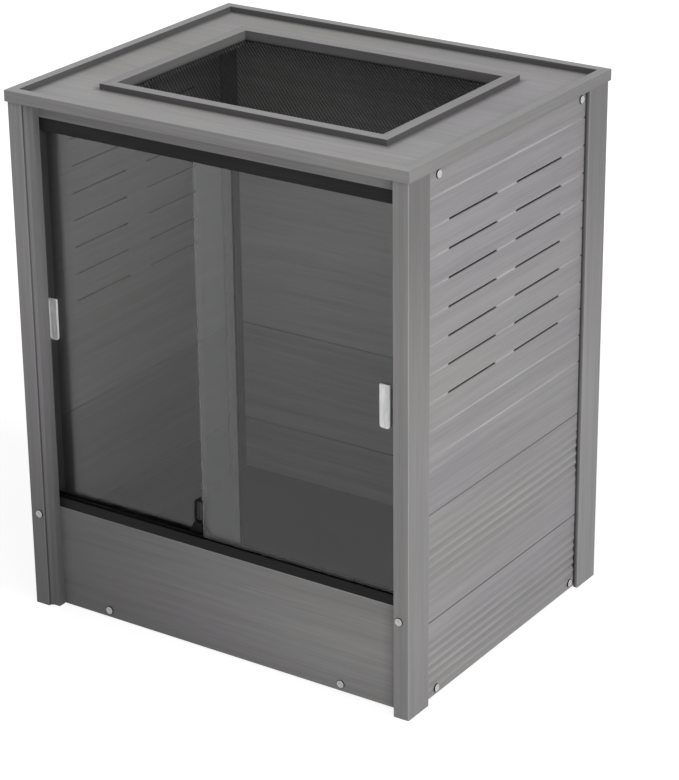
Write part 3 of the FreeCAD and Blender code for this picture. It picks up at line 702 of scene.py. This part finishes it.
def ripple(drop, wander, seed):
    """How deep the outer face lies at a distance below the head: troughs between narrow crests."""
    swell = math.exp(-((drop - RIPPLE_PEAK) / RIPPLE_SPREAD) ** 2)
    turns = (drop - RIPPLE_PEAK + wander) / RIPPLE_PITCH
    uneven = (1 - UNEVEN_SHARE) + UNEVEN_SHARE * math.sin(UNEVEN_RATE * turns + seed)
    depth = RIPPLE_DEPTH * swell * uneven * abs(math.cos(math.pi * turns)) ** RIPPLE_POWER
    if drop > HAIRLINE_DROP - RIPPLE_PITCH:
        depth *= max(0.0, (HAIRLINE_DROP - drop) / RIPPLE_PITCH)
    hairline = 1 - abs(drop - HAIRLINE_DROP) / HAIRLINE_WIDTH
    return depth + HAIRLINE_DEPTH * max(0.0, hairline)


def ease(distance):
    """How far a rounded edge falls back at a distance from the edge."""
    if distance >= EDGE_EASE:
        return 0.0
    return EDGE_EASE - math.sqrt(EDGE_EASE ** 2 - (EDGE_EASE - distance) ** 2)


def rippled_board(node, board, finish, seed):
    """A wall board whose outer face ripples gently along its length."""
    low, high, out, run, side = board.low, board.high, board.out, board.run, board.side
    foot, head = low[Z], high[Z]
    surface = board.surface
    inner = surface - side * board.thickness
    steps = round((head - foot) / PROFILE_STEP)
    heights = [foot + (head - foot) * step / steps for step in range(steps + 1)]
    sections = round((high[run] - low[run]) / SECTION_STEP)
    rings = []
    for section in range(sections + 1):
        place = low[run] + (high[run] - low[run]) * section / sections
        wander = wander_at(place, seed)
        ring = []
        for height in heights:
            back = ripple(head - height, wander, seed) + ease(height - foot) + ease(head - height)
            ring.append((surface - side * back, height))
        ring += [(inner, head), (inner, foot)]
        points = []
        for across, height in ring:
            point = [0.0, 0.0, height]
            point[out] = across
            point[run] = place
            points.append(tuple(point))
        rings.append(points)
    faces = capped(rings)
    if (side > 0) == (out == X):
        faces = [tuple(reversed(face)) for face in faces]
    points = [point for ring in rings for point in ring]
    piece = add_mesh(f"{node}_rippled", points, faces, finish, "cabinet", node)
    sharp_edges(piece)


# Woven mesh in the cap

WIRE_PITCH = 3.6 * MM
WIRE_HALF_WIDTH = 0.72 * MM
WIRE_HALF_HEIGHT = 0.27 * MM
WEAVE_RISE = 0.30 * MM

# The corners of a wire's section, across and up, in shares of its half width and half height
WIRE_SECTION_SHARES = ((-1, 0), (0, 1), (1, 0))


def wire_rings(run, fixed, start, stop, count, level, parity):
    """Sections of one ridged flat wire that passes over and under the wires it crosses."""
    across = Y if run == X else X
    rings = []
    for crossing in range(count + 1):
        rise = WEAVE_RISE if (crossing + parity) % 2 else -WEAVE_RISE
        ring = []
        for side, up in WIRE_SECTION_SHARES:
            point = [0.0, 0.0, level + rise + up * WIRE_HALF_HEIGHT]
            point[run] = start + (stop - start) * crossing / count
            point[across] = fixed + side * WIRE_HALF_WIDTH
            ring.append(tuple(point))
        rings.append(ring)
    return rings


def woven_mesh(finish):
    """The fine mesh: flattened wires woven both ways inside the CAD sheet's outline."""
    low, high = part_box("mesh_screen")
    level = (low[Z] + high[Z]) / 2
    counts = [round((high[axis] - low[axis]) / WIRE_PITCH) for axis in (X, Y)]
    points, faces = [], []
    for run, across in ((X, Y), (Y, X)):
        step = (high[across] - low[across]) / counts[across]
        for wire in range(counts[across]):
            fixed = low[across] + (wire + 0.5) * step
            parity = wire + (1 if run == X else 0)
            rings = wire_rings(run, fixed, low[run], high[run], counts[run], level, parity)
            own = capped(rings)
            if run == X:
                own = [tuple(reversed(face)) for face in own]
            faces += [tuple(len(points) + corner for corner in face) for face in own]
            points += [point for ring in rings for point in ring]
    add_mesh("woven_mesh", points, faces, finish, "cabinet", "mesh_screen")


# Finger pulls

PULL_LOW_RADIUS = 5.0 * MM
PULL_HIGH_RADIUS = 1.0 * MM
PULL_LEAST_LOW_RADIUS = 0.6 * MM
PULL_LEAST_HIGH_RADIUS = 0.4 * MM
CORNER_STEPS = 8

# Across a pull from its edge inwards: how far in, and how far out from the glass as a share
PULL_SECTION = (
    (0.00, 0.00),
    (0.00, 0.78),
    (0.15, 0.93),
    (0.50, 1.00),
    (2.00, 1.00),
    (2.35, 0.95),
    (2.60, 0.82),
    (3.10, 0.50),
    (4.00, 0.36),
    (6.00, 0.32),
)


def rounded_outline(low, high, low_radius, high_radius):
    """Points round a rectangle in X and Z whose corners are rounded."""
    corners = (
        (low[0], low[1], low_radius, 180),
        (high[0], low[1], low_radius, 270),
        (high[0], high[1], high_radius, 0),
        (low[0], high[1], high_radius, 90),
    )
    points = []
    for x, z, radius, start in corners:
        centre_x = x + radius if x == low[0] else x - radius
        centre_z = z + radius if z == low[1] else z - radius
        for step in range(CORNER_STEPS + 1):
            angle = math.radians(start + 90 * step / CORNER_STEPS)
            across = centre_x + radius * math.cos(angle)
            points.append((across, centre_z + radius * math.sin(angle)))
    return points


def finger_pull(node, body, finish):
    """A dished pull with a rolled edge, stuck on its pane."""
    low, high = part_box(node)
    depth = high[Y] - low[Y]
    rings = []
    for inset, out in PULL_SECTION:
        inset *= MM
        low_radius = max(PULL_LOW_RADIUS - inset, PULL_LEAST_LOW_RADIUS)
        high_radius = max(PULL_HIGH_RADIUS - inset, PULL_LEAST_HIGH_RADIUS)
        corner_low = (low[X] + inset, low[Z] + inset)
        corner_high = (high[X] - inset, high[Z] - inset)
        outline = rounded_outline(corner_low, corner_high, low_radius, high_radius)
        rings.append([(x, high[Y] - depth * out, z) for x, z in outline])
    faces = capped(rings)
    points = [point for ring in rings for point in ring]
    piece = add_mesh(f"{node}_dish", points, faces, finish, body, node)
    sharp_edges(piece)


# Bolts

BOLT_RADIUS = 7.0 * MM
BOLT_HEIGHT = 2.6 * MM
SHANK_RADIUS = 2.5 * MM
SHANK_SHARE = SHANK_RADIUS / BOLT_RADIUS
BOLT_SIDES = 40

# Points nearer to each other than this belong to one bolt
BOLT_REACH = 45 * MM

# Out from a bolt's axis as a share of its radius, and up from its seat in millimetres
BODY_SECTION = (
    (SHANK_SHARE, 0.0),
    (0.93, 0.0),
    (1.00, 0.3),
    (1.00, 1.8),
    (0.96, 2.1),
    (0.94, 1.2),
)
FACE_SECTION = (
    (0.93, 1.4),
    (0.93, 2.15),
    (0.88, 2.40),
    (0.70, 2.55),
    (0.46, 2.60),
    (0.38, 2.42),
    (0.32, 1.70),
    (0.16, 1.55),
)


def bolt_places():
    """The tip, the head's top and the outward direction of each bolt in the CAD set."""
    groups = []
    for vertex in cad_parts["bolts"].data.vertices:
        near = [group for group in groups if (vertex.co - group[0]).length < BOLT_REACH]
        if near:
            near[0].append(vertex.co)
        else:
            groups.append([vertex.co])
    places = []
    for group in groups:
        low = Vector([min(point[axis] for point in group) for axis in (X, Y, Z)])
        high = Vector([max(point[axis] for point in group) for axis in (X, Y, Z)])
        sizes = high - low
        axis = max((X, Y), key=lambda candidate: sizes[candidate])
        middle = (low + high) / 2
        outward = Vector((0, 0, 0))
        outward[axis] = math.copysign(1, middle[axis])
        reach = outward * sizes[axis] / 2
        places.append((middle - reach, middle + reach, outward))
    return places


def bolt_rings(top, outward, section):
    """Sections of one bolt's body or face, turned about its axis."""
    turn = outward.to_track_quat("Z", "Y")
    seat = top - outward * BOLT_HEIGHT
    rings = []
    for share, rise in section:
        ring = []
        for side in range(BOLT_SIDES):
            angle = math.tau * side / BOLT_SIDES
            radius = BOLT_RADIUS * share
            local = Vector((radius * math.cos(angle), radius * math.sin(angle), rise * MM))
            ring.append(tuple(seat + turn @ local))
        rings.append(ring)
    return rings


def bolt_set(name, finish, section, shank):
    """The bodies or the faces of all the bolts of the CAD set, in one piece."""
    points, faces = [], []
    for tip, top, outward in bolt_places():
        length = (top - tip).length - BOLT_HEIGHT
        start = ((SHANK_SHARE, -length / MM),) if shank else ()
        rings = bolt_rings(top, outward, start + section)
        faces += [tuple(len(points) + corner for corner in face) for face in capped(rings)]
        points += [point for ring in rings for point in ring]
    sharp_edges(add_mesh(name, points, faces, finish, "cabinet", "bolts"))


# Lay the finishes on the CAD nodes

# How light each board is beside the others, by the first word that fits; many tones stand in for
# how light falls, as painted light where lighter (the top panel, the rear wall) and painted shade
# where darker (the cap rim's right side)
TONES = (
    ("front_left_post", 1.05),
    ("rear_right_post", 1.04),
    ("post", 0.89),
    ("strip", 0.83),
    ("cap_rim_right", 0.78),
    ("cap_rim", 0.97),
    ("top_panel", 1.15),
    ("kick", 0.90),
    ("rail", 0.92),
    ("rear_upper", 1.30),
    ("rear_middle", 1.08),
    ("right_upper", 0.96),
    ("right_middle", 1.06),
    ("right_lower", 1.06),
)

# The painted highlights and painted shade that the boards bear besides their grain
MARKS = (
    ("post", post_marks),
    ("strip", foot_marks),
    ("kick", kick_marks),
    ("cap_rim", rim_marks),
    ("mesh_frame", frame_marks),
    ("top_panel", panel_marks),
)


def tone_of(node):
    """How light a board is."""
    return entry_for(TONES, node, 1.0)


def grain_of(node):
    """The axis that a board's grain follows."""
    if node.endswith("post") or node.endswith("strip"):
        return Z
    if node.startswith(("left", "right")) or node.endswith(("_left", "_right")):
        return Y
    return X


def dress(node, finish):
    """Give every slot of a CAD node one material."""
    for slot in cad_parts[node].material_slots:
        slot.material = finish


BOARDS = (
    "front_left_post", "front_right_post", "rear_left_post", "rear_right_post",
    "left_stop_strip", "kick_board", "top_rail", "head_batten", "sill_batten",
    "front_floor_bearer", "rear_floor_bearer", "left_floor_bearer", "right_floor_bearer",
    "left_top_batten", "right_top_batten", "rear_top_batten", "mesh_retainers", "top_panel",
    "cap_rim_front", "cap_rim_left", "cap_rim_rear", "cap_rim_right",
    "mesh_frame_front", "mesh_frame_left", "mesh_frame_rear", "mesh_frame_right",
)
WALLS = ("left", "right", "rear")
LEVELS = ("upper", "middle", "lower")
FLOOR_SEED = 50
# The upper track is drawn lighter than the lower one as painted light
TRACK_TONES = (("lower_track", 1.0), ("upper_track", 2.1))

for number, node in enumerate(BOARDS):
    marks = entry_for(MARKS, node)
    dress(node, board_finish(f"{node}_finish", grain_of(node), number, tone_of(node), marks))

wall_nodes = [f"{wall}_{level}_board" for wall in WALLS for level in LEVELS]
for number, node in enumerate(wall_nodes, start=len(BOARDS)):
    board = WallBoard(node)
    finish = board_finish(f"{node}_finish", grain_of(node), number, tone_of(node), board.marks)
    if board.grooved:
        dress(node, finish)
    else:
        rippled_board(node, board, finish, number)

dress("floor_panel", board_finish("floor_finish", X, FLOOR_SEED, greys=FLOOR_GREYS))
for node, tone in TRACK_TONES:
    dress(node, black_plastic(f"{node}_finish", tone))
pane = glass()
for node in ("left_pane", "right_pane"):
    dress(node, pane)
latch = black_metal("latch_finish", Z)
for node in ("latch_plate", "latch_lever"):
    dress(node, latch)
# The bolts' black bodies darken each head's side as painted shade
bolt_set("bolt_bodies", black_metal("bolt_body_painted_shade", Z), BODY_SECTION, True)
bolt_set("bolt_faces", bolt_metal(), FACE_SECTION, False)
woven_mesh(black_metal("mesh_finish", X))
metal = bright_metal()
finger_pull("left_pull", "left_door", metal)
finger_pull("right_pull", "right_door", metal)


# Camera, floor and light

IMAGE_HEIGHT = 780
FOCAL_PIXELS = 2766.6
AZIMUTH = math.radians(33.92)
ELEVATION = math.radians(23.24)
ROLL = math.radians(-0.602)
DISTANCE = 4.6084
AIM_RIGHT = 0.0426
AIM_UP = -0.0776
VIEW_DEPTH = 60


def add_camera():
    """The photograph's viewpoint, from the front right and a little above."""
    back = Vector((
        math.sin(AZIMUTH) * math.cos(ELEVATION),
        -math.cos(AZIMUTH) * math.cos(ELEVATION),
        math.sin(ELEVATION),
    ))
    level = Vector((math.cos(AZIMUTH), math.sin(AZIMUTH), 0))
    rise = back.cross(level)
    right = level * math.cos(ROLL) + rise * math.sin(ROLL)
    up = rise * math.cos(ROLL) - level * math.sin(ROLL)
    data = bpy.data.cameras.new("camera")
    data.lens = data.sensor_width * FOCAL_PIXELS / IMAGE_HEIGHT
    data.clip_end = VIEW_DEPTH
    camera = bpy.data.objects.new("camera", data)
    bpy.context.collection.objects.link(camera)
    centre = (cad_box[0] + cad_box[1]) / 2
    place = centre + back * DISTANCE + right * AIM_RIGHT + up * AIM_UP
    axes = Matrix((right, up, back)).transposed().to_4x4()
    camera.matrix_world = Matrix.Translation(place) @ axes
    bpy.context.scene.camera = camera


# How white the surroundings stay in a gloss, and the depth before light's first soft bounce
GLOSS_SHARE = 0.88
DIRECT_DEPTH = 0.5


def seen_ray(made):
    """One for what the camera sees, a little less in a gloss; nought for light that falls."""
    path = made.node("LightPath")
    glossy = made.math("MULTIPLY", path.outputs["Is Glossy Ray"], GLOSS_SHARE)
    seen = made.math("MAXIMUM", path.outputs["Is Camera Ray"], glossy)
    seen = made.math("MAXIMUM", seen, path.outputs["Is Transmission Ray"])
    direct = made.math("LESS_THAN", path.outputs["Diffuse Depth"], DIRECT_DEPTH)
    return made.math("MULTIPLY", seen, direct)


# The floor lies just under the feet and glows more the farther it is from the cage
FLOOR_RADIUS = 14.0
FLOOR_SIDES = 96
FLOOR_LEVEL = -0.1 * MM
PAPER_GREYS = ((0.3, (0.44, 0.44, 0.44)), (0.7, (0.47, 0.47, 0.47)))
PAPER_SCALE = 3.0
PAPER_DETAIL = 3
NEAR_GLOW = 0.77
FAR_GLOW = 0.95
GLOW_START = 0.7
GLOW_END = 2.6


def add_floor():
    """A wide pale floor that shows white and keeps the cage's soft shadow."""
    made = Material("floor_paper")
    mottle = made.noise(made.coordinates, PAPER_DETAIL, scale=PAPER_SCALE)
    paper = made.node("BsdfDiffuse", {"Color": made.ramp(mottle, PAPER_GREYS)})
    away = made.node("VectorMath", {0: made.coordinates}, operation="LENGTH").outputs["Value"]
    inputs = {"Value": away, "From Min": GLOW_START, "From Max": GLOW_END}
    inputs.update({"To Min": NEAR_GLOW, "To Max": FAR_GLOW})
    glowing = made.node("MapRange", inputs, interpolation_type="SMOOTHSTEP").outputs["Result"]
    glow = made.node("Emission", {"Strength": made.math("MULTIPLY", seen_ray(made), glowing)})
    finish = made.surface(made.node("AddShader", {0: paper.outputs[0], 1: glow.outputs[0]}))
    rim = []
    for side in range(FLOOR_SIDES):
        angle = math.tau * side / FLOOR_SIDES
        rim.append((FLOOR_RADIUS * math.cos(angle), FLOOR_RADIUS * math.sin(angle), FLOOR_LEVEL))
    mesh = bpy.data.meshes.new("floor")
    mesh.from_pydata(rim, [], [tuple(range(FLOOR_SIDES))])
    mesh.materials.append(finish)
    floor = bpy.data.objects.new("floor", mesh)
    bpy.context.collection.objects.link(floor)


AMBIENT = 0.17


def add_world():
    """A white surround for what is seen, and a dimmer one that lights the cage."""
    world = bpy.data.worlds.new("studio")
    world.use_nodes = True
    made = Nodes(world.node_tree)
    strength = made.ranged(seen_ray(made), AMBIENT, 1.0)
    background = made.node("Background", {"Color": grey(1.0), "Strength": strength})
    made.node("OutputWorld", {"Surface": background.outputs[0]})
    bpy.context.scene.world = world


# Each lamp: its name, place, aim, side and power in watts
LAMPS = (
    ("key", (5.6, 0.3, 4.4), (0.2, 0.0, 0.45), 3.2, 238),
    ("fill", (1.6, -1.6, 0.7), (0.0, -0.2, 0.55), 1.0, 14),
    ("top", (-0.4, -1.9, 3.6), (0.0, 0.0, 0.9), 2.4, 36),
    ("left", (-5.2, 0.7, 2.2), (-0.3, 0.0, 0.5), 2.6, 48),
)


def add_lamps():
    """Soft square lamps."""
    for name, place, aim, side, power in LAMPS:
        data = bpy.data.lights.new(name, "AREA")
        data.shape = "SQUARE"
        data.size = side
        data.energy = power
        lamp = bpy.data.objects.new(name, data)
        bpy.context.collection.objects.link(lamp)
        lamp.location = place
        lamp.rotation_euler = (Vector(aim) - Vector(place)).to_track_quat("-Z", "Y").to_euler()
        lamp.visible_camera = False


add_camera()
add_floor()
add_world()
add_lamps()
bpy.context.scene.view_settings.view_transform = "Standard"
